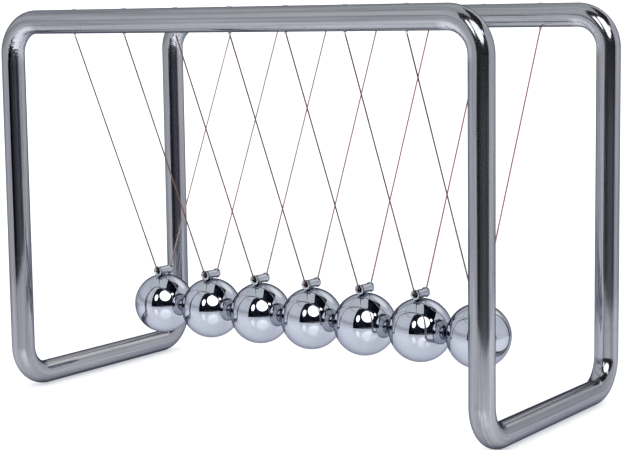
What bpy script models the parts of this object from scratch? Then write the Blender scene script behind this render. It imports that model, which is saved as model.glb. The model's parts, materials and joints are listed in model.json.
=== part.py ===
"""A seven-ball swinging cradle: steel balls hung on nylon lines in an open frame of bent tube.

Metres, +Z up. The row of balls lies along X, the two top rails run along X on either side of
it, and the origin is on the ground at the middle of the frame.
"""

import math

import bmesh
import bpy
from mathutils import Matrix, Vector

# Row of balls
BALL_COUNT = 7
BALL_DIAMETER = 0.022
CLEARANCE = 0.0003
BALL_PITCH = BALL_DIAMETER + CLEARANCE
BALL_CENTRE_HEIGHT = 0.0272
ROW_OFFSET = 0.002
SOCKET_DEPTH = 0.0036

# Frame of bent tube
FRAME_HEIGHT = 0.137
TUBE_DIAMETER = 0.0083
TUBE_WALL = 0.001
LEG_SPACING_X = 0.189
LEG_SPACING_Y = 0.091
BEND_RADIUS = 0.0115
SPIGOT_LENGTH = 0.024
SPIGOT_CHAMFER = 0.0006

# Hanger: a flared cross tube on a stem
HANGER_HEIGHT = 0.03975
HANGER_LENGTH = 0.0084
HANGER_BARREL_RADIUS = 0.00125
HANGER_MOUTH_RADIUS = 0.0016
HANGER_FLARE_LENGTH = 0.0013
HANGER_BORE_RADIUS = 0.0006
HANGER_TRUMPET_RADIUS = 0.0012
HANGER_TRUMPET_LENGTH = 0.0009
STEM_RADIUS = 0.0007
STEM_TOP_BELOW_BORE_AXIS = 0.0009

# Line, its end knots and the anchor pins above them
LINE_DIAMETER = 0.0005
LINE_CORNER_RADIUS = 0.0008
KNOT_DIAMETER = 0.0016
KNOT_DROP = 0.0003
ANCHOR_RADIUS = 0.0008
ANCHOR_CROWN_HEIGHT = 0.0002

# Facets
TUBE_BEVEL_RESOLUTION = 6
TUBE_SIDES = 4 + 2 * TUBE_BEVEL_RESOLUTION
BEND_SEGMENTS = 6
BALL_SEGMENTS = 24
BALL_RINGS = 12
KNOT_SEGMENTS = 8
KNOT_RINGS = 6
HANGER_STEPS = 12
PIN_STEPS = 10
LINE_BEVEL_RESOLUTION = 2
LINE_CORNER_SEGMENTS = 3
MERGE_DISTANCE = 0.00001

# Places that follow from the dimensions above
TUBE_RADIUS = TUBE_DIAMETER / 2
RAIL_X = LEG_SPACING_X / 2
RAIL_Y = LEG_SPACING_Y / 2
TOP_RAIL_Z = FRAME_HEIGHT - TUBE_RADIUS
BASE_RAIL_Z = TUBE_RADIUS
RAIL_UNDERSIDE_Z = FRAME_HEIGHT - TUBE_DIAMETER
SWING_AXIS_Z = RAIL_UNDERSIDE_Z - KNOT_DROP
SIDES = {"front": -1, "rear": 1}


def clear_scene():
    for item in list(bpy.data.objects):
        bpy.data.objects.remove(item, do_unlink=True)


def new_collection(name):
    collection = bpy.data.collections.new(name)
    bpy.context.scene.collection.children.link(collection)
    return collection


def new_material(name, colour, metallic, roughness):
    material = bpy.data.materials.new(name)
    material.use_nodes = True
    shader = material.node_tree.nodes["Principled BSDF"]
    shader.inputs["Base Color"].default_value = (*colour, 1.0)
    shader.inputs["Metallic"].default_value = metallic
    shader.inputs["Roughness"].default_value = roughness
    return material


def place(name, data, collection, parent=None, location=(0, 0, 0), rotation=(0, 0, 0)):
    """An object at a world location, under an unturned parent empty if it has one."""
    item = bpy.data.objects.new(name, data)
    collection.objects.link(item)
    item.parent = parent
    origin = parent.matrix_world.translation if parent else Vector((0, 0, 0))
    item.location = Vector(location) - origin
    item.rotation_euler = rotation
    return item


def place_pivot(name, collection, location):
    """An empty on a hinge axis, which carries the pieces that swing about it."""
    pivot = place(name, None, collection, location=location)
    pivot.empty_display_size = BALL_DIAMETER / 4
    pivot.matrix_world = Matrix.Translation(location)
    return pivot


def smooth(mesh, angle=40):
    mesh.shade_smooth()
    mesh.set_sharp_from_angle(angle=math.radians(angle))


def arc_points(centre, start, end, radius, segments):
    """A quarter turn about centre, from the unit direction start to the unit direction end."""
    turns = [math.pi / 2 * step / segments for step in range(segments + 1)]
    return [centre + radius * (math.cos(turn) * start + math.sin(turn) * end) for turn in turns]


def curve_tube(name, points, radius, resolution, tilt=0.0, capped=True):
    """Curve data for a tube of the given radius along straight runs between the points."""
    curve = bpy.data.curves.new(name, "CURVE")
    curve.dimensions = "3D"
    curve.bevel_depth = radius
    curve.bevel_resolution = resolution
    curve.use_fill_caps = capped
    spline = curve.splines.new("POLY")
    spline.points.add(len(points) - 1)
    for spline_point, point in zip(spline.points, points):
        spline_point.co = (*point, 1.0)
        spline_point.tilt = tilt
    return curve


def mesh_of_curve(name, curve, collection):
    """The curve's evaluated surface as a welded mesh, with the curve itself removed."""
    guide = place(name + "_guide", curve, collection)
    bpy.context.view_layer.update()
    evaluated = guide.evaluated_get(bpy.context.evaluated_depsgraph_get())
    mesh = bpy.data.meshes.new_from_object(evaluated)
    mesh.name = name
    bpy.data.objects.remove(guide, do_unlink=True)
    shape = bmesh.new()
    shape.from_mesh(mesh)
    bmesh.ops.remove_doubles(shape, verts=shape.verts, dist=MERGE_DISTANCE)
    shape.to_mesh(mesh)
    shape.free()
    return mesh


def profile_mesh(name, points, closed):
    """A chain of edges in the XZ plane, given as radius and height."""
    shape = bmesh.new()
    corners = [shape.verts.new((radius, 0, height)) for radius, height in points]
    links = list(zip(corners, corners[1:]))
    if closed:
        links.append((corners[-1], corners[0]))
    for link in links:
        shape.edges.new(link)
    mesh = bpy.data.meshes.new(name)
    shape.to_mesh(mesh)
    shape.free()
    return mesh


def add_turning(item, steps):
    """Turns a profile about the object's own Z axis."""
    screw = item.modifiers.new("turning", "SCREW")
    screw.axis = "Z"
    screw.steps = steps
    screw.render_steps = steps
    screw.use_merge_vertices = True
    screw.merge_threshold = MERGE_DISTANCE
    screw.use_smooth_shade = True


def add_boolean(item, cutter, operation):
    boolean = item.modifiers.new(cutter.name, "BOOLEAN")
    boolean.operation = operation
    boolean.solver = "EXACT"
    boolean.object = cutter


def cylinder_mesh(name, radius, low, high, segments, centres=((0, 0),)):
    """Upright cylinders between two heights, one at each centre."""
    shape = bmesh.new()
    for x, y in centres:
        lift = Matrix.Translation((x, y, (low + high) / 2))
        bmesh.ops.create_cone(
            shape, cap_ends=True, segments=segments, radius1=radius, radius2=radius,
            depth=high - low, matrix=lift,
        )
    mesh = bpy.data.meshes.new(name)
    shape.to_mesh(mesh)
    shape.free()
    return mesh


def hide_as_cutter(item):
    item.hide_render = True
    item.display_type = "WIRE"


def ball_positions():
    middle = (BALL_COUNT - 1) / 2
    return [ROW_OFFSET + (number - middle) * BALL_PITCH for number in range(BALL_COUNT)]


def hoop_route(side):
    """Centre line of one bent tube, from the middle of one base rail to the middle of the other."""
    along_x, along_y, up = Vector((1, 0, 0)), Vector((0, 1, 0)), Vector((0, 0, 1))
    outward = side * along_y
    low_z = BASE_RAIL_Z + BEND_RADIUS
    high_z = TOP_RAIL_Z - BEND_RADIUS
    run_end = side * CLEARANCE / 2
    bend_y = side * (RAIL_Y - BEND_RADIUS)
    left = [Vector((-RAIL_X, run_end, BASE_RAIL_Z))]
    left += arc_points(Vector((-RAIL_X, bend_y, low_z)), -up, outward, BEND_RADIUS, BEND_SEGMENTS)
    top_bend = Vector((-RAIL_X + BEND_RADIUS, side * RAIL_Y, high_z))
    left += arc_points(top_bend, -along_x, up, BEND_RADIUS, BEND_SEGMENTS)
    right = [Vector((-point.x, point.y, point.z)) for point in reversed(left)]
    return left + right


def make_hoop(side_name, parts, cutters, material):
    """Half of the frame: a top rail, two legs and half of each base rail, in one bent tube."""
    side = SIDES[side_name]
    half_facet = math.pi / TUBE_SIDES
    corner_radius = TUBE_RADIUS / math.cos(half_facet)
    route = hoop_route(side)
    curve = curve_tube(side_name, route, corner_radius, TUBE_BEVEL_RESOLUTION, half_facet, False)
    mesh = mesh_of_curve(side_name + "_hoop", curve, parts)
    smooth(mesh)
    mesh.materials.append(material)
    hoop = place(side_name + "_hoop", mesh, parts)
    wall = hoop.modifiers.new("wall", "SOLIDIFY")
    wall.thickness = TUBE_WALL
    wall.offset = -1
    wall.use_even_offset = True
    centres = [(x, side * RAIL_Y) for x in ball_positions()]
    holes = cylinder_mesh(
        side_name + "_rail_holes", KNOT_DIAMETER / 2 + CLEARANCE,
        RAIL_UNDERSIDE_Z - TUBE_RADIUS, FRAME_HEIGHT + TUBE_RADIUS, PIN_STEPS, centres,
    )
    cutter = place(side_name + "_rail_holes", holes, cutters)
    hide_as_cutter(cutter)
    add_boolean(hoop, cutter, "DIFFERENCE")


def make_spigot(name, x, parts, material):
    """A turned pin inside a base rail, across the joint between the two hoops."""
    radius = TUBE_RADIUS - TUBE_WALL - CLEARANCE
    half = SPIGOT_LENGTH / 2
    profile = [
        (0, half),
        (radius - SPIGOT_CHAMFER, half),
        (radius, half - SPIGOT_CHAMFER),
        (radius, -half + SPIGOT_CHAMFER),
        (radius - SPIGOT_CHAMFER, -half),
        (0, -half),
    ]
    mesh = profile_mesh(name, profile, closed=False)
    mesh.materials.append(material)
    along_y = (-math.pi / 2, 0, 0)
    spigot = place(name, mesh, parts, location=(x, 0, BASE_RAIL_Z), rotation=along_y)
    add_turning(spigot, TUBE_SIDES)


def ball_mesh(material):
    """The ball that every pendulum shares; its socket is cut by each ball's own modifier."""
    shape = bmesh.new()
    bmesh.ops.create_uvsphere(
        shape, u_segments=BALL_SEGMENTS, v_segments=BALL_RINGS, radius=BALL_DIAMETER / 2
    )
    mesh = bpy.data.meshes.new("ball")
    shape.to_mesh(mesh)
    shape.free()
    mesh.shade_smooth()
    mesh.materials.append(material)
    return mesh


def socket_mesh():
    """Cutter for the blind hole in the top of a ball, measured from the ball's centre."""
    top = BALL_DIAMETER / 2
    radius = STEM_RADIUS + CLEARANCE
    return cylinder_mesh("socket", radius, top - SOCKET_DEPTH, top + SOCKET_DEPTH, PIN_STEPS)


def stem_mesh():
    """Stem under the cross tube, measured from the tube's axis, ending clear of the socket's floor."""
    socket_floor = BALL_CENTRE_HEIGHT + BALL_DIAMETER / 2 - SOCKET_DEPTH
    low = socket_floor + CLEARANCE - HANGER_HEIGHT
    return cylinder_mesh("stem", STEM_RADIUS, low, -STEM_TOP_BELOW_BORE_AXIS, PIN_STEPS)


def hanger_mesh(material):
    """Closed profile of the cross tube's wall: a barrel with a flared, rounded mouth at each end."""
    half = HANGER_LENGTH / 2
    waist = half - HANGER_FLARE_LENGTH
    throat = half - HANGER_TRUMPET_LENGTH
    lip = HANGER_FLARE_LENGTH / 5
    outer = [
        (HANGER_MOUTH_RADIUS, half - lip),
        (HANGER_BARREL_RADIUS, waist),
        (HANGER_BARREL_RADIUS, -waist),
        (HANGER_MOUTH_RADIUS, -half + lip),
    ]
    inner = [
        (HANGER_TRUMPET_RADIUS, -half),
        (HANGER_BORE_RADIUS, -throat),
        (HANGER_BORE_RADIUS, throat),
        (HANGER_TRUMPET_RADIUS, half),
    ]
    mesh = profile_mesh("hanger", outer + inner, closed=True)
    mesh.materials.append(material)
    return mesh


def line_route(x):
    """One continuous line: down from the front knot, through the hanger and up to the rear knot."""
    corner = Vector((x, -HANGER_LENGTH / 2, HANGER_HEIGHT))
    knot = Vector((x, -RAIL_Y, SWING_AXIS_Z))
    rise = (knot - corner).normalized()
    start = knot - rise * (KNOT_DIAMETER / 2 + CLEARANCE)
    inward = Vector((0, 1, 0))
    front = [start]
    for step in range(LINE_CORNER_SEGMENTS + 1):
        share = step / LINE_CORNER_SEGMENTS
        before = corner + rise * LINE_CORNER_RADIUS * (1 - share)
        after = corner + inward * LINE_CORNER_RADIUS * share
        front.append(before.lerp(after, share))
    rear = [Vector((point.x, -point.y, point.z)) for point in reversed(front)]
    return front + rear


def knot_mesh(material):
    shape = bmesh.new()
    bmesh.ops.create_uvsphere(
        shape, u_segments=KNOT_SEGMENTS, v_segments=KNOT_RINGS, radius=KNOT_DIAMETER / 2
    )
    mesh = bpy.data.meshes.new("knot")
    shape.to_mesh(mesh)
    shape.free()
    mesh.shade_smooth()
    mesh.materials.append(material)
    return mesh


def anchor_mesh(material):
    """Profile of a pin whose low crown just shows on the rail and whose foot stops above the knot."""
    foot = KNOT_DIAMETER / 2 + CLEARANCE - KNOT_DROP - TUBE_DIAMETER
    profile = [
        (0, ANCHOR_CROWN_HEIGHT),
        (ANCHOR_RADIUS * 0.6, ANCHOR_CROWN_HEIGHT * 0.7),
        (ANCHOR_RADIUS, 0),
        (ANCHOR_RADIUS, foot),
        (0, foot),
    ]
    mesh = profile_mesh("anchor", profile, closed=False)
    mesh.materials.append(material)
    return mesh


def make_frame(parts, cutters, materials):
    for side_name in SIDES:
        make_hoop(side_name, parts, cutters, materials["chrome"])
    make_spigot("left_spigot", -RAIL_X, parts, materials["steel"])
    make_spigot("right_spigot", RAIL_X, parts, materials["steel"])


def make_anchors(parts, materials):
    mesh = anchor_mesh(materials["chrome"])
    for number, x in enumerate(ball_positions(), 1):
        for side_name, side in SIDES.items():
            name = f"{side_name}_anchor_{number}"
            anchor = place(name, mesh, parts, location=(x, side * RAIL_Y, FRAME_HEIGHT))
            add_turning(anchor, PIN_STEPS)


def make_pendulum(number, x, meshes, parts, cutters, materials):
    """Two knots, a line, a hanger and a ball, all hung from the swing axis between the rails."""
    pivot = place_pivot(f"pivot_{number}", parts, (x, 0, SWING_AXIS_Z))
    for side_name, side in SIDES.items():
        knot_place = (x, side * RAIL_Y, SWING_AXIS_Z)
        place(f"{side_name}_knot_{number}", meshes["knot"], parts, pivot, knot_place)

    line_name = f"line_{number}"
    curve = curve_tube(line_name, line_route(x), LINE_DIAMETER / 2, LINE_BEVEL_RESOLUTION)
    line = mesh_of_curve(line_name, curve, parts)
    line.transform(Matrix.Translation((-x, 0, -SWING_AXIS_Z)))
    smooth(line)
    line.materials.append(materials["nylon"])
    place(line_name, line, parts, pivot, (x, 0, SWING_AXIS_Z))

    hanger_place = (x, 0, HANGER_HEIGHT)
    along_y = (-math.pi / 2, 0, 0)
    hanger = place(f"hanger_{number}", meshes["hanger"], parts, pivot, hanger_place, along_y)
    add_turning(hanger, HANGER_STEPS)
    stem = place(f"stem_{number}", meshes["stem"], cutters, pivot, hanger_place)
    hide_as_cutter(stem)
    add_boolean(hanger, stem, "UNION")

    ball_place = (x, 0, BALL_CENTRE_HEIGHT)
    ball = place(f"ball_{number}", meshes["ball"], parts, pivot, ball_place)
    socket = place(f"socket_{number}", meshes["socket"], cutters, pivot, ball_place)
    hide_as_cutter(socket)
    add_boolean(ball, socket, "DIFFERENCE")


def make_row(parts, cutters, materials):
    meshes = {
        "knot": knot_mesh(materials["knot"]),
        "hanger": hanger_mesh(materials["chrome"]),
        "stem": stem_mesh(),
        "ball": ball_mesh(materials["ball"]),
        "socket": socket_mesh(),
    }
    for number, x in enumerate(ball_positions(), 1):
        make_pendulum(number, x, meshes, parts, cutters, materials)


def main():
    clear_scene()
    parts = new_collection("newtons_cradle")
    cutters = new_collection("cutters")
    materials = {
        "chrome": new_material("chrome_tube", (0.72, 0.72, 0.76), 1.0, 0.12),
        "steel": new_material("plain_steel", (0.45, 0.46, 0.48), 1.0, 0.35),
        "ball": new_material("polished_ball", (0.80, 0.82, 0.85), 1.0, 0.05),
        "nylon": new_material("nylon_line", (0.42, 0.26, 0.22), 0.0, 0.35),
        "knot": new_material("nylon_knot", (0.75, 0.70, 0.70), 0.0, 0.4),
    }
    make_frame(parts, cutters, materials)
    make_anchors(parts, materials)
    make_row(parts, cutters, materials)
    bpy.context.view_layer.update()


main()
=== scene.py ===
import json
import math

import bmesh
import bpy
from mathutils import Matrix, Vector


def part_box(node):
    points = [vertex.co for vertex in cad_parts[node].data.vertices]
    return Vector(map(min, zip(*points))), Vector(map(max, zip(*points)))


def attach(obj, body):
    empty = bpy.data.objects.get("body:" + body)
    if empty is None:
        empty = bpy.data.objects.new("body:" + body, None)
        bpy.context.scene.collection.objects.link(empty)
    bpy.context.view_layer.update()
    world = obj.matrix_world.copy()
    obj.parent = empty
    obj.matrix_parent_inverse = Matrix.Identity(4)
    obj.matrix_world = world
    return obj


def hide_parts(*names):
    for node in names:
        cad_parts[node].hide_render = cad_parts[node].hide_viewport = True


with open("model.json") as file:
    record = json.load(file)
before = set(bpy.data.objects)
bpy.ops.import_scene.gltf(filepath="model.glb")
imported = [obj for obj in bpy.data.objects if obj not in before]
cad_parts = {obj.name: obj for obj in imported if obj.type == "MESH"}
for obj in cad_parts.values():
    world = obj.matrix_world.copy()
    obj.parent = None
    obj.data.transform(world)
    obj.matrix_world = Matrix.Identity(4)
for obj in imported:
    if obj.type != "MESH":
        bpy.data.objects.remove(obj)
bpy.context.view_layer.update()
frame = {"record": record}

# Row of balls, in metres
BALL_COUNT = 7
BALL_DIAMETER = 0.022
BALL_PITCH = 0.0223
BALL_CENTRE_HEIGHT = 0.0272
ROW_OFFSET = 0.002
SOCKET_RADIUS = 0.0010
SOCKET_DEPTH = 0.0036
SOCKET_RIM = 0.00012

# Bent tube frame
FRAME_HEIGHT = 0.137
TUBE_DIAMETER = 0.0083
TUBE_WALL = 0.001
LEG_SPACING_X = 0.189
LEG_SPACING_Y = 0.091
BEND_RADIUS = 0.0115
SEAM = 0.00004

# Hanger spool, its stem, the line and the pieces at its ends
HANGER_HEIGHT = 0.03975
HANGER_LENGTH = 0.0074
HANGER_BARREL_RADIUS = 0.00148
HANGER_MOUTH_RADIUS = 0.00178
HANGER_FLARE_LENGTH = 0.0013
HANGER_BORE_RADIUS = 0.0006
HANGER_TRUMPET_RADIUS = 0.0012
STEM_RADIUS = 0.0007
COLLAR_RADIUS = 0.0011
COLLAR_FOOT_RADIUS = 0.00135
LINE_DIAMETER = 0.0005
LINE_CORNER = 0.0008
LINE_CORNER_INSIDE = 0.0001
KNOT_DROP = 0.0003
KNOT_RADIUS = 0.00055
KNOT_TURNS = 1.5
PIN_HEAD_RADIUS = 0.0008
PIN_HEAD_HEIGHT = 0.0004
PIN_SHANK_RADIUS = 0.0006
PIN_FOOT_HEIGHT = 0.0008
LINE_HOLE_RADIUS = 0.0009

# Floor under the object
FLOOR_RADIUS = 0.36
FLOOR_CENTRE = Vector((-0.06, 0.09, -0.0002))

# Fineness of the surfaces
TUBE_SIDES = 64
BEND_STEPS = 28
BALL_SEGMENTS = 128
BALL_RINGS = 80
SPOOL_STEPS = 48
PIN_STEPS = 40
LINE_SIDES = 12
LINE_BEND_STEPS = 10
KNOT_STEPS = 48
HOLE_STEPS = 4
FLARE_STEPS = 6
FLOOR_SIDES = 128
MERGE = 0.000001
ON_PLANE = 0.0000001

# Places that follow from the sizes
TUBE_RADIUS = TUBE_DIAMETER / 2
RAIL_X = LEG_SPACING_X / 2
RAIL_Y = LEG_SPACING_Y / 2
TOP_RAIL_Z = FRAME_HEIGHT - TUBE_RADIUS
BASE_RAIL_Z = TUBE_RADIUS
RAIL_UNDERSIDE_Z = FRAME_HEIGHT - TUBE_DIAMETER
SWING_AXIS_Z = RAIL_UNDERSIDE_Z - KNOT_DROP
HOLE_CUT = LINE_HOLE_RADIUS * 0.9
SIDES = {"front": -1, "rear": 1}
BODY_OF = {
    node: body
    for body, nodes in frame["record"]["behaviour"]["bodies"].items()
    for node in nodes
}
ALONG_X = Vector((1, 0, 0))
ALONG_Y = Vector((0, 1, 0))
UP = Vector((0, 0, 1))

# Tint of polished metal seen along its surface, darker than the metal: painted shade at grazing angles
EDGE_TINT = (0.34, 0.34, 0.38, 1.0)

# Viewpoint
EYE = Vector((0.33035, -0.48593, 0.13306))
EYE_TURN = 0.5933
EYE_TILT = -0.1230
EYE_ROLL = -0.0139
LENS = 96.75
SENSOR_WIDTH = 36.0


class Wire:
    """A shader socket that takes part in Python sums."""

    def __init__(self, nodes, socket):
        self.nodes = nodes
        self.socket = socket

    def maths(self, operation, first, second=None):
        """A Math node on one or two values."""
        sockets = {0: first} if second is None else {0: first, 1: second}
        return self.nodes.add("Math", {"operation": operation}, sockets)

    def __add__(self, other):
        return self.maths("ADD", self, other)

    def __sub__(self, other):
        return self.maths("SUBTRACT", self, other)

    def __mul__(self, other):
        return self.maths("MULTIPLY", self, other)

    def __truediv__(self, other):
        return self.maths("DIVIDE", self, other)

    def __rsub__(self, other):
        return self.maths("SUBTRACT", other, self)

    def __rtruediv__(self, other):
        return self.maths("DIVIDE", other, self)

    def __neg__(self):
        return self.maths("SUBTRACT", 0.0, self)

    __radd__ = __add__
    __rmul__ = __mul__

    def size(self):
        """The value without its sign."""
        return self.maths("ABSOLUTE", self)

    def root(self):
        return self.maths("SQRT", self)

    def or_more(self, other):
        """The larger of the two values."""
        return self.maths("MAXIMUM", self, other)

    def above(self, limit):
        return self.maths("GREATER_THAN", self, limit)

    def below(self, limit):
        return self.maths("LESS_THAN", self, limit)

    def ramp(self, low, high):
        """0 below low, 1 above high, and smooth between them."""
        settings = {"interpolation_type": "SMOOTHSTEP"}
        sockets = {0: self, 1: low, 2: high, 3: 0.0, 4: 1.0}
        return self.nodes.add("MapRange", settings, sockets)


class Nodes:
    """The node tree of one finish, and the calls that add nodes to it."""

    def __init__(self, tree):
        self.tree = tree

    def add(self, kind, settings=None, sockets=None, output=0):
        """A node with its settings and sockets filled in; returns one of its outputs."""
        node = self.tree.nodes.new("ShaderNode" + kind)
        for name, value in (settings or {}).items():
            setattr(node, name, value)
        for key, value in (sockets or {}).items():
            self.feed(node.inputs[key], value)
        return Wire(self, node.outputs[output])

    def feed(self, target, value):
        """Links a wire to the target socket, or sets it to a plain value."""
        if isinstance(value, Wire):
            self.tree.links.new(value.socket, target)
        else:
            target.default_value = value

    def noise(self, vector, scale, detail=3.0, roughness=0.5):
        sockets = {"Vector": vector, "Scale": scale, "Detail": detail, "Roughness": roughness}
        return self.add("TexNoise", None, sockets)

    def stretched(self, vector, stretch):
        """The vector with each of its parts multiplied, which packs a pattern closer."""
        return self.add("VectorMath", {"operation": "MULTIPLY"}, {0: vector, 1: stretch})

    def along(self, vector, direction):
        """How far the vector reaches along the direction."""
        settings = {"operation": "DOT_PRODUCT"}
        return self.add("VectorMath", settings, {0: vector, 1: direction}, 1)

    def mix(self, factor, first, second):
        """A blend of two colours."""
        return self.add("Mix", {"data_type": "RGBA"}, {0: factor, 6: first, 7: second}, 2)


def start_finish(name):
    """An empty material with its Principled shader, and its node helper."""
    material = bpy.data.materials.new(name)
    material.use_nodes = True
    tree = material.node_tree
    shader = tree.nodes["Principled BSDF"]
    return material, Nodes(tree), shader


def bright_metal(name, light, dark, roughness, wear, waviness):
    """Polished plate or steel: faint clouding, hairline scratches and handling marks."""
    material, nodes, shader = start_finish(name)
    place = nodes.add("TexCoord", None, None, 3)
    clouds = nodes.noise(place, 70.0, 4.0, 0.55).ramp(0.38, 0.72)
    marks = nodes.noise(place, 260.0, 5.0, 0.62).ramp(0.52, 0.74)
    upright = nodes.stretched(place, (5200.0, 5200.0, 160.0))
    level = nodes.stretched(place, (150.0, 4800.0, 4800.0))
    hairs_up = nodes.noise(upright, 1.0, 2.0).ramp(0.56, 0.70)
    hairs_across = nodes.noise(level, 1.0, 2.0).ramp(0.58, 0.72)
    hairs = hairs_up * 0.5 + hairs_across * 0.5
    shade = (clouds * 0.65 + marks * 0.35) * wear
    nodes.feed(shader.inputs["Base Color"], nodes.mix(shade, light, dark))
    dulled = clouds * 0.03 * wear + marks * 0.04 * wear + hairs * 0.05 * wear
    nodes.feed(shader.inputs["Roughness"], roughness + dulled)
    shader.inputs["Metallic"].default_value = 1.0
    shader.inputs["Specular Tint"].default_value = EDGE_TINT
    swell = nodes.noise(place, 120.0, 2.0, 0.4)
    pits = nodes.noise(place, 2600.0, 3.0, 0.5)
    height = swell * waviness + pits * 0.04 * wear + hairs * -0.05 * wear
    bump = nodes.add("Bump", None, {"Height": height, "Strength": 1.0, "Distance": 0.00002})
    nodes.feed(shader.inputs["Normal"], bump)
    return material


def drawn_chrome(name, light, dark):
    """Chrome on drawn tube: streaks along the tube, clouded plate, and wrinkled inner bends made paler by
    a painted highlight.
    """
    material, nodes, shader = start_finish(name)
    place = nodes.add("TexCoord", None, None, 3)
    drawn = nodes.add("Attribute", {"attribute_name": "draw"}, None, 1)
    broad = nodes.noise(nodes.stretched(drawn, (2.6, 2.6, 9.0)), 1.0, 3.0, 0.55).ramp(0.36, 0.66)
    streaks = nodes.noise(nodes.stretched(drawn, (13.0, 13.0, 26.0)), 1.0, 4.0, 0.6).ramp(0.38, 0.68)
    hairs = nodes.noise(nodes.stretched(drawn, (55.0, 55.0, 90.0)), 1.0, 2.0).ramp(0.54, 0.74)
    marks = nodes.noise(place, 420.0, 4.0, 0.6).ramp(0.54, 0.76)
    handled = nodes.along(place, ALONG_X).ramp(-0.3 * RAIL_X, RAIL_X)
    rough = 0.05 + broad * 0.03 + streaks * 0.04 + marks * 0.03 + handled * 0.03
    nodes.feed(shader.inputs["Roughness"], rough)
    nodes.feed(shader.inputs["Metallic"], 1.0 - handled * 0.03 - marks * 0.01)
    shader.inputs["Specular Tint"].default_value = EDGE_TINT
    # Mask of the inner faces of the top bends: it carries the wrinkles and a painted highlight
    aside = nodes.along(place, ALONG_X).size() - (RAIL_X - BEND_RADIUS)
    climb = nodes.along(place, UP) - (TOP_RAIL_Z - BEND_RADIUS)
    reach = (aside * aside + climb * climb).root()
    inside = 1.0 - reach.ramp(BEND_RADIUS - 0.003, BEND_RADIUS)
    inner_bend = aside.ramp(-0.003, 0.001) * climb.ramp(-0.004, 0.002) * inside
    wrinkles = nodes.noise(place, 620.0, 3.0, 0.6) * inner_bend
    shade = broad * 0.40 + streaks * 0.42 + marks * 0.18
    plate = nodes.mix(shade, light, dark)
    # Painted highlight: the inner faces of the top bends are mixed towards a pale grey
    colour = nodes.mix(inner_bend * 0.55, plate, (0.72, 0.72, 0.75, 1.0))
    nodes.feed(shader.inputs["Base Color"], colour)
    swell = nodes.noise(place, 90.0, 2.0, 0.4)
    grain = broad * 0.22 + streaks * 0.16 + hairs * 0.05 - marks * 0.04
    height = swell * 0.25 + grain + wrinkles * 16.0
    bump = nodes.add("Bump", None, {"Height": height, "Strength": 1.0, "Distance": 0.00002})
    nodes.feed(shader.inputs["Normal"], bump)
    return material


def turned_steel(name):
    """Plain machined steel with fine rings from the tool."""
    material, nodes, shader = start_finish(name)
    place = nodes.add("TexCoord", None, None, 3)
    rings = nodes.noise(nodes.stretched(place, (30.0, 9000.0, 30.0)), 1.0, 2.0)
    stain = nodes.noise(place, 400.0, 4.0, 0.6).ramp(0.45, 0.75)
    colour = nodes.mix(stain * 0.6, (0.44, 0.44, 0.45, 1.0), (0.26, 0.24, 0.22, 1.0))
    nodes.feed(shader.inputs["Base Color"], colour)
    nodes.feed(shader.inputs["Roughness"], 0.26 + rings * 0.16 + stain * 0.1)
    shader.inputs["Metallic"].default_value = 1.0
    bump = nodes.add("Bump", None, {"Height": rings, "Strength": 0.6, "Distance": 0.00003})
    nodes.feed(shader.inputs["Normal"], bump)
    return material


def nylon(name, light, dark, far):
    """Drawn nylon: a soft sheen over a drifting tone that turns to far at the rear, paler to the left."""
    material, nodes, shader = start_finish(name)
    place = nodes.add("TexCoord", None, None, 3)
    drift = nodes.noise(nodes.stretched(place, (60.0, 160.0, 160.0)), 1.0, 3.0, 0.6).ramp(0.35, 0.65)
    fibres = nodes.noise(nodes.stretched(place, (9000.0, 9000.0, 500.0)), 1.0, 2.0)
    rear = nodes.along(place, ALONG_Y).ramp(-0.004, 0.010)
    # Tone set by place: the rear part turns paler towards the left along X
    leftward = 1.0 - nodes.along(place, ALONG_X).ramp(-0.07, 0.05)
    rear_tone = nodes.mix(leftward * 0.8, far, (0.34, 0.29, 0.29, 1.0))
    near_tone = nodes.mix(drift * 0.8 + fibres * 0.2, light, dark)
    colour = nodes.mix(rear * (0.55 + drift * 0.35), near_tone, rear_tone)
    nodes.feed(shader.inputs["Base Color"], colour)
    nodes.feed(shader.inputs["Roughness"], 0.36 + fibres * 0.2)
    shader.inputs["Specular IOR Level"].default_value = 0.4
    bump = nodes.add("Bump", None, {"Height": fibres, "Strength": 0.5, "Distance": 0.00002})
    nodes.feed(shader.inputs["Normal"], bump)
    return material


def start_ring(shape, centre, facing, radius, sides):
    """A ring of points round centre, square to the direction facing; returns its edges."""
    turn = facing.to_track_quat("Z", "X").to_matrix().to_4x4()
    made = bmesh.ops.create_circle(
        shape, cap_ends=False, segments=sides, radius=radius, matrix=Matrix.Translation(centre) @ turn
    )
    corners = set(made["verts"])
    return [edge for edge in shape.edges if set(edge.verts) <= corners]


def mark_ring(shape, edges, centre):
    """Writes the place round the ring, and no distance yet, in the corners' draw values."""
    draw = shape.verts.layers.float_vector.new("draw")
    for corner in {corner for edge in edges for corner in edge.verts}:
        outward = (corner.co - centre).normalized()
        corner[draw] = (outward.x, outward.z, 0)


def lengthen(shape, corners, distance):
    """Adds the distance drawn to the corners' draw values, where the shape has them."""
    draw = shape.verts.layers.float_vector.get("draw")
    if draw:
        for corner in corners:
            corner[draw] += Vector((0, 0, distance))


def run_straight(shape, edges, step):
    """Draws the rings out along the step; returns the edges of their far ends."""
    made = bmesh.ops.extrude_edge_only(shape, edges=edges)["geom"]
    corners = {part for part in made if isinstance(part, bmesh.types.BMVert)}
    bmesh.ops.translate(shape, vec=step, verts=list(corners))
    lengthen(shape, corners, step.length)
    edges = [part for part in made if isinstance(part, bmesh.types.BMEdge)]
    return [edge for edge in edges if set(edge.verts) <= corners]


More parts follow.
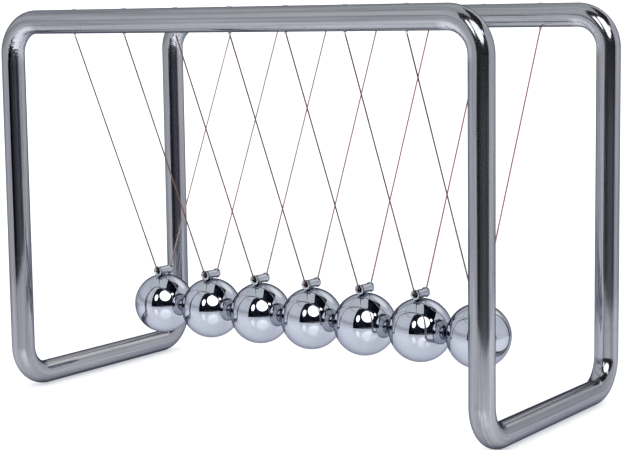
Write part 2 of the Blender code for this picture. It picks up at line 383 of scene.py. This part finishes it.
def run_bend(shape, edges, centre, axis, angle, steps, radius=0.0, climb=(0, 0, 0)):
    """Sweeps the rings round an axis through centre; returns the edges of their far ends."""
    for step in range(steps):
        lifted = centre + Vector(climb) * step
        corners = list({corner for edge in edges for corner in edge.verts})
        made = bmesh.ops.spin(
            shape, geom=corners + edges, cent=lifted, axis=axis, angle=angle / steps, steps=1, dvec=climb
        )["geom_last"]
        edges = [part for part in made if isinstance(part, bmesh.types.BMEdge)]
        lengthen(shape, {corner for edge in edges for corner in edge.verts}, radius * angle / steps)
    return edges


def run_drilled(shape, edges, places):
    """Draws the rings along X, finely spaced at each place to drill; returns edges and x reached."""
    last = next(iter(edges)).verts[0].co.x
    for x in places:
        start = x - HOLE_CUT
        edges = run_straight(shape, edges, ALONG_X * (start - last))
        for step in range(HOLE_STEPS):
            edges = run_straight(shape, edges, ALONG_X * (HOLE_CUT * 2 / HOLE_STEPS))
        last = start + HOLE_CUT * 2
    return edges, last


def drill_underside(shape, x, axis_y, axis_z):
    """Opens a round hole through the tube's lower wall, between its outer and inner skins."""
    half_turn = math.tau / TUBE_SIDES * (HOLE_STEPS / 2)
    chips = []
    for face in shape.faces:
        middle = face.calc_center_median() - Vector((x, axis_y, axis_z))
        turn = math.atan2(abs(middle.y), -middle.z)
        if abs(middle.x) < HOLE_CUT and turn < half_turn:
            chips.append(face)
    bmesh.ops.delete(shape, geom=chips, context="FACES")
    rim = []
    for edge in shape.edges:
        middle = (edge.verts[0].co + edge.verts[1].co) / 2 - Vector((x, axis_y, axis_z))
        if edge.is_boundary and abs(middle.x) < LINE_HOLE_RADIUS and middle.z < 0:
            rim.append(edge)
    for corner in {corner for edge in rim for corner in edge.verts}:
        depth = (corner.co.yz - Vector((axis_y, axis_z))).length
        out = (corner.co.xy - Vector((x, axis_y))).normalized() * LINE_HOLE_RADIUS
        corner.co = (x + out.x, axis_y + out.y, axis_z - math.sqrt(depth ** 2 - out.y ** 2))
    bmesh.ops.bridge_loops(shape, edges=rim)


def cap(shape, edges):
    """Closes a ring of edges with one face."""
    bmesh.ops.edgeloop_fill(shape, edges=edges)


def lathe(shape, profile, steps, turn, closed=False):
    """Turns a chain of (radius, height) corners about Z, then places it by the matrix."""
    corners = [shape.verts.new((radius, 0, height)) for radius, height in profile]
    pairs = list(zip(corners, corners[1:]))
    if closed:
        pairs.append((corners[-1], corners[0]))
    edges = [shape.edges.new(pair) for pair in pairs]
    before = set(shape.verts) - set(corners)
    bmesh.ops.spin(
        shape, geom=corners + edges, cent=(0, 0, 0), axis=(0, 0, 1),
        angle=math.tau, steps=steps, use_merge=True,
    )
    made = [corner for corner in shape.verts if corner not in before]
    bmesh.ops.transform(shape, matrix=turn, verts=made)
    return made


def soften(shape, width, segments, sharper_than=35):
    """Rounds the edges where two faces meet more sharply than the given angle."""
    limit = math.radians(sharper_than)
    edges = [edge for edge in shape.edges if edge.is_manifold and edge.calc_face_angle() > limit]
    bmesh.ops.bevel(
        shape, geom=edges, offset=width, affect="EDGES", segments=segments,
        profile=0.5, material=-1, clamp_overlap=True,
    )


def finish_piece(name, shape, material, node):
    """Makes the shape an object that rides with its CAD node and stands for it."""
    bmesh.ops.remove_doubles(shape, verts=shape.verts, dist=MERGE)
    bmesh.ops.recalc_face_normals(shape, faces=shape.faces)
    mesh = bpy.data.meshes.new(name)
    shape.to_mesh(mesh)
    shape.free()
    mesh.shade_smooth()
    mesh.set_sharp_from_angle(angle=math.radians(40))
    mesh.materials.append(material)
    item = bpy.data.objects.new(name, mesh)
    bpy.context.scene.collection.objects.link(item)
    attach(item, BODY_OF[node])
    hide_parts(node)


def ball_positions():
    """The place of each ball along X."""
    middle = (BALL_COUNT - 1) / 2
    return [ROW_OFFSET + (number - middle) * BALL_PITCH for number in range(BALL_COUNT)]


def mirrored(point):
    """The same place on the other side of the middle plane."""
    return Vector((-point.x, point.y, point.z))


def make_frame_tube(side_name, material):
    """One hoop of the frame: half a base rail, a leg, the top rail, a leg and half a base rail."""
    side = SIDES[side_name]
    outward = side * ALONG_Y
    low_z = BASE_RAIL_Z + BEND_RADIUS
    high_z = TOP_RAIL_Z - BEND_RADIUS
    base_run = outward * (RAIL_Y - BEND_RADIUS - SEAM / 2)
    leg_run = UP * (high_z - low_z)
    base_bend = Vector((-RAIL_X, side * (RAIL_Y - BEND_RADIUS), low_z))
    top_bend = Vector((-RAIL_X + BEND_RADIUS, side * RAIL_Y, high_z))
    quarter = math.pi / 2

    shape = bmesh.new()
    start = Vector((-RAIL_X, side * SEAM / 2, BASE_RAIL_Z))
    first = start_ring(shape, start, outward, TUBE_RADIUS, TUBE_SIDES)
    first += start_ring(shape, start, outward, TUBE_RADIUS - TUBE_WALL, TUBE_SIDES)
    mark_ring(shape, first, start)
    edges = run_straight(shape, first, base_run)
    edges = run_bend(shape, edges, base_bend, side * ALONG_X, quarter, BEND_STEPS, BEND_RADIUS)
    edges = run_straight(shape, edges, leg_run)
    edges = run_bend(shape, edges, top_bend, ALONG_Y, quarter, BEND_STEPS, BEND_RADIUS)
    edges, reached = run_drilled(shape, edges, ball_positions())
    edges = run_straight(shape, edges, ALONG_X * (RAIL_X - BEND_RADIUS - reached))
    edges = run_bend(shape, edges, mirrored(top_bend), ALONG_Y, quarter, BEND_STEPS, BEND_RADIUS)
    edges = run_straight(shape, edges, -leg_run)
    edges = run_bend(shape, edges, mirrored(base_bend), -side * ALONG_X, quarter, BEND_STEPS, BEND_RADIUS)
    last = run_straight(shape, edges, -base_run)
    bmesh.ops.bridge_loops(shape, edges=first)
    bmesh.ops.bridge_loops(shape, edges=last)
    for x in ball_positions():
        drill_underside(shape, x, side * RAIL_Y, TOP_RAIL_Z)
    name = side_name + "_frame_tube"
    finish_piece(name, shape, material, side_name + "_hoop")


def make_joining_pin(side_name, x, material):
    """The pin inside a base rail that joins the two hoops, with a groove round its middle."""
    node = side_name + "_spigot"
    low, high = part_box(node)
    radius = (high.z - low.z) / 2
    half = (high.y - low.y) / 2
    lead = 0.0009
    groove = 0.0004
    profile = [
        (0, half), (radius - lead, half), (radius, half - lead), (radius, groove),
        (radius - groove, 0), (radius, -groove), (radius, -half + lead),
        (radius - lead, -half), (0, -half),
    ]
    shape = bmesh.new()
    turn = Matrix.Translation((x, 0, BASE_RAIL_Z)) @ Matrix.Rotation(-math.pi / 2, 4, "X")
    lathe(shape, profile, PIN_STEPS, turn)
    bmesh.ops.remove_doubles(shape, verts=shape.verts, dist=MERGE)
    soften(shape, 0.0002, 2)
    finish_piece(side_name + "_joining_pin", shape, material, node)


def make_rail_pin(side_name, number, x, material):
    """A pin with a low domed head in the rail's top wall and its foot above the knot."""
    node = f"{side_name}_anchor_{number}"
    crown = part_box(node)[1].z - FRAME_HEIGHT
    seat = crown - PIN_HEAD_HEIGHT
    arc = [math.radians(angle) for angle in range(0, 91, 10)]
    rim = seat + PIN_HEAD_HEIGHT * 0.6
    foot = PIN_FOOT_HEIGHT - TUBE_DIAMETER
    profile = [
        (PIN_HEAD_RADIUS * math.sin(turn), rim + (crown - rim) * math.cos(turn)) for turn in arc
    ]
    profile[0] = (0, crown)
    profile += [
        (PIN_HEAD_RADIUS, seat), (PIN_SHANK_RADIUS, seat),
        (PIN_SHANK_RADIUS, foot + 0.0001), (PIN_SHANK_RADIUS - 0.0001, foot), (0, foot),
    ]
    shape = bmesh.new()
    place = Matrix.Translation((x, SIDES[side_name] * RAIL_Y, FRAME_HEIGHT))
    lathe(shape, profile, PIN_STEPS, place)
    name = f"{side_name}_rail_pin_{number}"
    finish_piece(name, shape, material, node)


def make_ball(number, x, material):
    """A polished ball with the drilled socket for its hanger's stem."""
    radius = BALL_DIAMETER / 2
    shape = bmesh.new()
    bmesh.ops.create_uvsphere(shape, u_segments=BALL_SEGMENTS, v_segments=BALL_RINGS, radius=radius)
    cut = math.sqrt(radius ** 2 - SOCKET_RADIUS ** 2)
    everything = shape.verts[:] + shape.edges[:] + shape.faces[:]
    bmesh.ops.bisect_plane(
        shape, geom=everything, dist=ON_PLANE, plane_co=(0, 0, cut), plane_no=(0, 0, 1), clear_outer=True
    )
    rim = [edge for edge in shape.edges if edge.is_boundary]
    floor = run_straight(shape, rim, Vector((0, 0, -SOCKET_DEPTH)))
    cap(shape, floor)
    bmesh.ops.recalc_face_normals(shape, faces=shape.faces)
    soften(shape, SOCKET_RIM, 3, 50)
    bmesh.ops.translate(shape, vec=(x, 0, BALL_CENTRE_HEIGHT), verts=shape.verts)
    finish_piece(f"polished_ball_{number}", shape, material, f"ball_{number}")


def make_hanger(number, x, material):
    """A spool with trumpet mouths on a stem, with a brazed collar between it and the ball."""
    half = HANGER_LENGTH / 2
    rim = 0.00014
    flare = [step / FLARE_STEPS for step in range(FLARE_STEPS + 1)]
    outer_swell = HANGER_MOUTH_RADIUS - HANGER_BARREL_RADIUS
    inner_swell = HANGER_TRUMPET_RADIUS - HANGER_BORE_RADIUS
    top = [
        (
            HANGER_MOUTH_RADIUS - outer_swell * (1 - (1 - share) ** 2),
            half - rim - HANGER_FLARE_LENGTH * share,
        )
        for share in flare
    ]
    inside = [
        (HANGER_BORE_RADIUS + inner_swell * share ** 2, half - HANGER_FLARE_LENGTH * (1 - share))
        for share in flare
    ]
    lip = [(HANGER_MOUTH_RADIUS - rim * 0.4, half - rim * 0.3), (HANGER_MOUTH_RADIUS - rim * 1.4, half)]
    right_half = inside + lip[::-1] + top
    left_half = [(radius, -height) for radius, height in reversed(right_half)]
    shape = bmesh.new()
    across = Matrix.Translation((x, 0, HANGER_HEIGHT)) @ Matrix.Rotation(-math.pi / 2, 4, "X")
    lathe(shape, right_half + left_half, SPOOL_STEPS, across, closed=True)
    ball_top = BALL_CENTRE_HEIGHT + BALL_DIAMETER / 2
    foot = ball_top - SOCKET_DEPTH + 0.0003
    seat = ball_top - 0.00008
    braze = seat + 0.0002
    top_end = HANGER_HEIGHT - HANGER_BORE_RADIUS - 0.0002
    stem = [
        (0, foot), (STEM_RADIUS - 0.0001, foot), (STEM_RADIUS, foot + 0.0001), (STEM_RADIUS, seat),
        (COLLAR_FOOT_RADIUS, seat), (COLLAR_FOOT_RADIUS - 0.00005, seat + 0.00008),
        (COLLAR_RADIUS + 0.00004, braze), (COLLAR_RADIUS, braze + 0.0001),
        (COLLAR_RADIUS, top_end), (0, top_end),
    ]
    lathe(shape, stem, PIN_STEPS, Matrix.Translation((x, 0, 0)))
    finish_piece(f"hanger_spool_{number}", shape, material, f"hanger_{number}")


def make_line(number, x, material):
    """The line from knot to knot: down to one mouth, through the spool and up from the other."""
    corner = Vector((x, LINE_CORNER_INSIDE - HANGER_LENGTH / 2, HANGER_HEIGHT))
    knot = Vector((x, -RAIL_Y, SWING_AXIS_Z))
    down = (corner - knot).normalized()
    turn = down.angle(ALONG_Y)
    bend = LINE_CORNER / math.tan(turn / 2)
    first = corner - down * LINE_CORNER
    entering = -corner.y - LINE_CORNER
    through = ALONG_Y * 2 * entering
    up_again = Vector((0, down.y, -down.z))
    shape = bmesh.new()
    start = start_ring(shape, knot, down, LINE_DIAMETER / 2, LINE_SIDES)
    edges = run_straight(shape, start, first - knot)
    edges = run_bend(shape, edges, first + ALONG_X.cross(down) * bend, ALONG_X, turn, LINE_BEND_STEPS)
    edges = run_straight(shape, edges, through)
    leaving = Vector((x, entering, HANGER_HEIGHT))
    edges = run_bend(shape, edges, leaving + UP * bend, ALONG_X, turn, LINE_BEND_STEPS)
    end = run_straight(shape, edges, up_again * (first - knot).length)
    cap(shape, start)
    cap(shape, end)
    finish_piece(f"nylon_line_{number}", shape, material, f"line_{number}")


def make_knot(side_name, number, x, material):
    """The stopper knot under the rail: the line's end wound round itself and pulled tight."""
    side = SIDES[side_name]
    centre = Vector((x, side * RAIL_Y, SWING_AXIS_Z))
    winding = KNOT_RADIUS - LINE_DIAMETER / 2
    rise = LINE_DIAMETER * 0.96
    climb = rise / (KNOT_STEPS / KNOT_TURNS)
    low = centre - UP * rise * KNOT_TURNS / 2
    shape = bmesh.new()
    start = start_ring(shape, low + ALONG_X * winding, ALONG_Y, LINE_DIAMETER / 2, LINE_SIDES)
    angle = math.tau * KNOT_TURNS
    end = run_bend(shape, start, low, UP, angle, KNOT_STEPS, climb=UP * climb)
    cap(shape, start)
    cap(shape, end)
    core = start_ring(shape, centre - UP * KNOT_RADIUS, UP, LINE_DIAMETER * 0.5, LINE_SIDES)
    tip = run_straight(shape, core, UP * KNOT_RADIUS * 2)
    cap(shape, core)
    cap(shape, tip)
    name = f"{side_name}_tied_knot_{number}"
    finish_piece(name, shape, material, f"{side_name}_knot_{number}")


def make_studio():
    """A pale floor in a lit tent with an open front; polished surfaces see both darker than the eye, the
    floor with painted shade.
    """
    shape = bmesh.new()
    bmesh.ops.create_circle(
        shape, cap_ends=True, segments=FLOOR_SIDES, radius=FLOOR_RADIUS,
        matrix=Matrix.Translation(FLOOR_CENTRE),
    )
    mesh = bpy.data.meshes.new("studio_floor")
    shape.to_mesh(mesh)
    shape.free()
    material, nodes, shader = start_finish("white sweep")
    place = nodes.add("TexCoord", None, None, 3)
    gloss = nodes.add("LightPath", None, None, 3)
    away = Vector((-math.sin(EYE_TURN), math.cos(EYE_TURN), 0))
    # Painted shade: reflected rays see the floor dark past the object's middle and in strips under the
    # base rails, where contact shadow would fall
    far_side = nodes.along(place, away).ramp(0.03, 0.16)
    from_rail = (nodes.along(place, ALONG_X).size() - RAIL_X).size()
    past_leg = nodes.along(place, ALONG_Y).size() - RAIL_Y
    beneath = (1.0 - from_rail.ramp(0.001, 0.006)) * (1.0 - past_leg.ramp(-0.010, -0.004))
    shaded = far_side.or_more(beneath)
    seen = nodes.mix(gloss * shaded, (0.90, 0.91, 0.93, 1.0), (0.14, 0.15, 0.18, 1.0))
    nodes.feed(shader.inputs["Base Color"], seen)
    shader.inputs["Roughness"].default_value = 0.16
    shader.inputs["Specular IOR Level"].default_value = 1.0
    # Painted reflection: to reflected rays the floor's glow is dimmer and bluish
    floor_glow = nodes.mix(gloss, (0.45, 0.45, 0.45, 1.0), (0.17, 0.19, 0.25, 1.0))
    nodes.feed(shader.inputs["Emission Color"], floor_glow)
    shader.inputs["Emission Strength"].default_value = 1.0
    mesh.materials.append(material)
    floor = bpy.data.objects.new("studio_floor", mesh)
    bpy.context.scene.collection.objects.link(floor)

    world = bpy.data.worlds.new("light tent")
    bpy.context.scene.world = world
    world.use_nodes = True
    world.cycles.sampling_method = "NONE"
    nodes = Nodes(world.node_tree)
    ray = nodes.add("TexCoord", None, None, 0)
    forward = Vector((math.sin(EYE_TURN), -math.cos(EYE_TURN), 0))
    sideways = Vector((math.cos(EYE_TURN), math.sin(EYE_TURN), 0))
    ahead = nodes.along(ray, forward)
    across = nodes.along(ray, sideways)
    height = nodes.along(ray, UP)

    facing = ahead.above(0.02)
    run = across / ahead
    rise = height / ahead
    opening = facing * run.above(-1.05) * run.below(1.6) * rise.below(2.6)
    over_x = across / height
    over_y = ahead / height
    edge = (over_x - over_y * 0.22).below(0.98)
    notch = height.above(0.02) * over_x.above(0.16) * edge * over_y.above(-0.42) * over_y.below(0.75)
    dark = opening.or_more(notch)

    def oval(turn, tilt, size, squeeze=1.0):
        """How far out a ray is in an oval patch, 1 at its edge; turn, tilt and half height in degrees."""
        turn, tilt, size = (math.radians(value) for value in (turn, tilt, size))
        level = forward * math.cos(turn) + sideways * math.sin(turn)
        centre = level * math.cos(tilt) + UP * math.sin(tilt)
        flat = sideways * math.cos(turn) - forward * math.sin(turn)
        lift = UP * math.cos(tilt) - level * math.sin(tilt)
        aside = nodes.along(ray, flat) * squeeze
        climb = nodes.along(ray, lift)
        opposite = nodes.along(ray, centre).below(0.0)
        return (aside * aside + climb * climb) / math.sin(size) ** 2 + opposite * 9.0

    def lamp(turn, tilt, size, squeeze=1.0):
        """A lit oval with a slightly soft edge."""
        return 1.0 - oval(turn, tilt, size, squeeze).ramp(0.88, 1.06)

    lamps = lamp(9.5, 37, 21) + lamp(-30, 28, 12, 1.9) + lamp(45, 39, 4.5)
    glow_behind = 1.0 - oval(140, 36, 16, 0.7).ramp(0.2, 1.0)

    patchy = nodes.noise(ray, 2.4, 3.0, 0.5)
    wall = nodes.mix(patchy, (0.80, 0.83, 0.90, 1.0), (1.02, 1.05, 1.13, 1.0))
    roof = nodes.mix(patchy, (0.74, 0.80, 0.82, 1.0), (0.94, 1.00, 1.02, 1.0))
    tent = nodes.mix(height.ramp(0.735, 0.75), wall, roof)
    left_side = (-across).ramp(0.55, 0.80)
    shade_low = height.ramp(0.02, 0.06) * (1.0 - height.ramp(0.18, 0.27))
    shade_high = height.ramp(0.66, 0.76)
    tent = nodes.mix(left_side * shade_low * 0.45, tent, (0.36, 0.37, 0.40, 1.0))
    tent = nodes.mix(left_side * shade_high * 0.4, tent, (0.50, 0.54, 0.54, 1.0))
    seam = height.ramp(0.725, 0.735) * (1.0 - height.ramp(0.745, 0.76))
    tent = nodes.mix(seam * 0.5, tent, (0.30, 0.32, 0.34, 1.0))
    behind = (-ahead).ramp(0.84, 0.96) * (1.0 - height.ramp(0.25, 0.5))
    tent = nodes.mix(behind, tent, (0.15, 0.15, 0.18, 1.0))
    tent = nodes.mix(glow_behind, tent, (1.5, 1.5, 1.5, 1.0))
    clouded = patchy.ramp(0.45, 0.62)
    gloom = nodes.mix(clouded, (0.004, 0.005, 0.009, 1.0), (0.020, 0.022, 0.036, 1.0))
    stripes = nodes.noise(nodes.stretched(ray, (9.0, 9.0, 1.2)), 1.0, 3.0, 0.6).ramp(0.38, 0.64)
    under = 1.0 - height.ramp(-0.04, -0.02)
    depths = nodes.mix(stripes, (0.055, 0.056, 0.088, 1.0), (0.22, 0.22, 0.26, 1.0))
    gloom = nodes.mix(under * across.ramp(-0.62, 0.45), gloom, depths)
    tent = nodes.mix(dark, tent, gloom)
    tent = nodes.mix(lamps, tent, (3.8, 3.8, 3.9, 1.0))
    gloss = nodes.add("LightPath", None, None, 3)
    glow = nodes.mix(gloss, (1.32, 1.32, 1.33, 1.0), tent)
    background = world.node_tree.nodes["Background"]
    nodes.feed(background.inputs["Color"], glow)


def make_camera():
    """The camera at the viewpoint, turned, tilted and slightly rolled."""
    data = bpy.data.cameras.new("viewpoint")
    data.sensor_fit = "HORIZONTAL"
    data.sensor_width = SENSOR_WIDTH
    data.lens = LENS
    data.clip_start = 0.01
    data.clip_end = 10.0
    camera = bpy.data.objects.new("viewpoint", data)
    bpy.context.scene.collection.objects.link(camera)
    level = Vector((math.cos(EYE_TURN), math.sin(EYE_TURN), 0))
    onward = Vector((-math.sin(EYE_TURN), math.cos(EYE_TURN), 0))
    ahead = onward * math.cos(EYE_TILT) + UP * math.sin(EYE_TILT)
    over = level.cross(ahead)
    right = level * math.cos(EYE_ROLL) + over * math.sin(EYE_ROLL)
    over = over * math.cos(EYE_ROLL) - level * math.sin(EYE_ROLL)
    turn = Matrix((right, over, -ahead)).transposed().to_4x4()
    camera.matrix_world = Matrix.Translation(EYE) @ turn
    bpy.context.scene.camera = camera


tube_chrome = drawn_chrome("chromed tube", (0.385, 0.385, 0.40, 1.0), (0.21, 0.21, 0.225, 1.0))
pin_chrome = bright_metal(
    "chromed pin", (0.50, 0.51, 0.54, 1.0), (0.36, 0.37, 0.41, 1.0), 0.14, 1.0, 0.10
)
ball_polish = bright_metal(
    "polished steel ball", (0.48, 0.50, 0.54, 1.0), (0.40, 0.42, 0.47, 1.0), 0.02, 0.35, 0.03
)
spool_metal = bright_metal(
    "plated hanger", (0.42, 0.44, 0.47, 1.0), (0.22, 0.23, 0.26, 1.0), 0.15, 1.0, 0.30
)
pin_steel = turned_steel("turned steel")
line_nylon = nylon(
    "nylon line", (0.13, 0.058, 0.058, 1.0), (0.06, 0.026, 0.026, 1.0), (0.27, 0.11, 0.12, 1.0)
)
knot_nylon = nylon(
    "knotted nylon", (0.72, 0.66, 0.66, 1.0), (0.42, 0.34, 0.34, 1.0), (0.62, 0.48, 0.48, 1.0)
)

for side_name in SIDES:
    make_frame_tube(side_name, tube_chrome)
make_joining_pin("left", -RAIL_X, pin_steel)
make_joining_pin("right", RAIL_X, pin_steel)
for number, x in enumerate(ball_positions(), 1):
    for side_name in SIDES:
        make_rail_pin(side_name, number, x, pin_chrome)
        make_knot(side_name, number, x, knot_nylon)
    make_line(number, x, line_nylon)
    make_hanger(number, x, spool_metal)
    make_ball(number, x, ball_polish)
make_studio()
make_camera()
bpy.context.scene.view_settings.view_transform = "Standard"
